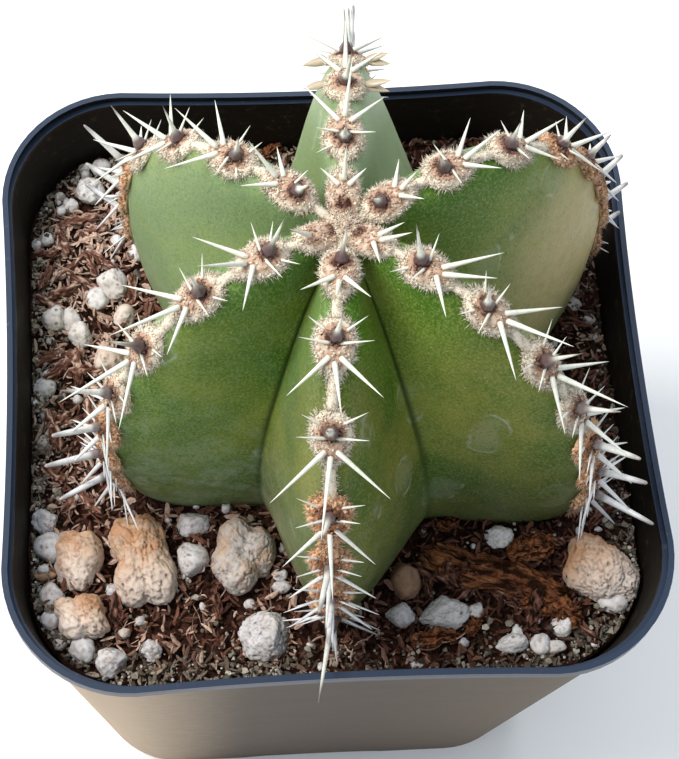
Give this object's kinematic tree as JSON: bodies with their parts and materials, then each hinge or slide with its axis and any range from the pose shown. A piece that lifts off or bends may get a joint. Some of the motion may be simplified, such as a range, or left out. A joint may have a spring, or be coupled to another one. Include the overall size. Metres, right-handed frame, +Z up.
{
  "type": "potted mexican fence post cactus",
  "caption": "Young ribbed columnar cactus with woolly spined areoles, growing in gritty mix topped with pumice, in a square plastic nursery pot.",
  "frame": {"origin": "middle of the pot's flat underside, on the surface the pot stands on", "axes": "+Z up along the pot's height; -Y is the side the picture is taken from; +X is to the right in the picture"},
  "size_m": [0.1055, 0.108, 0.1479],
  "materials": {
    "pot_plastic": "satin",
    "potting_mix": "matte",
    "stem_skin": "satin",
    "areole_wool": "matte",
    "spine": "satin",
    "pumice_tan": "matte",
    "pumice_grey": "matte",
    "perlite_white": "matte",
    "bark": "matte"
  },
  "bodies": {
    "root": {"areoles_back": "areole_wool", "areoles_back_left": "areole_wool", "areoles_back_right": "areole_wool", "areoles_crown": "areole_wool", "areoles_front": "areole_wool", "areoles_front_left": "areole_wool", "areoles_front_right": "areole_wool", "bark_chip_back": "bark", "bark_chip_long": "bark", "cactus_stem": "stem_skin", "pebble_back": "pumice_tan", "pebble_back_left": "perlite_white", "pebble_left_a": "pumice_grey", "pebble_left_b": "pumice_grey", "pebble_left_c": "pumice_grey", "pebble_left_d": "pumice_tan", "pebble_right_wall": "perlite_white", "perlite_corner": "perlite_white", "perlite_front": "perlite_white", "perlite_front_small": "perlite_white", "perlite_left_low": "perlite_white", "perlite_mid_left": "perlite_white", "perlite_right": "perlite_white", "perlite_right_corner": "perlite_white", "perlite_right_low": "perlite_white", "perlite_valley": "perlite_white", "perlite_wall_left": "perlite_white", "pot": "pot_plastic", "pumice_crumbly": "pumice_tan", "pumice_left": "pumice_tan", "pumice_lobed": "pumice_grey", "pumice_orange": "pumice_tan", "pumice_pink": "pumice_tan", "pumice_round": "perlite_white", "pumice_tan": "pumice_tan", "soil": "potting_mix"}
  },
  "joints": []
}
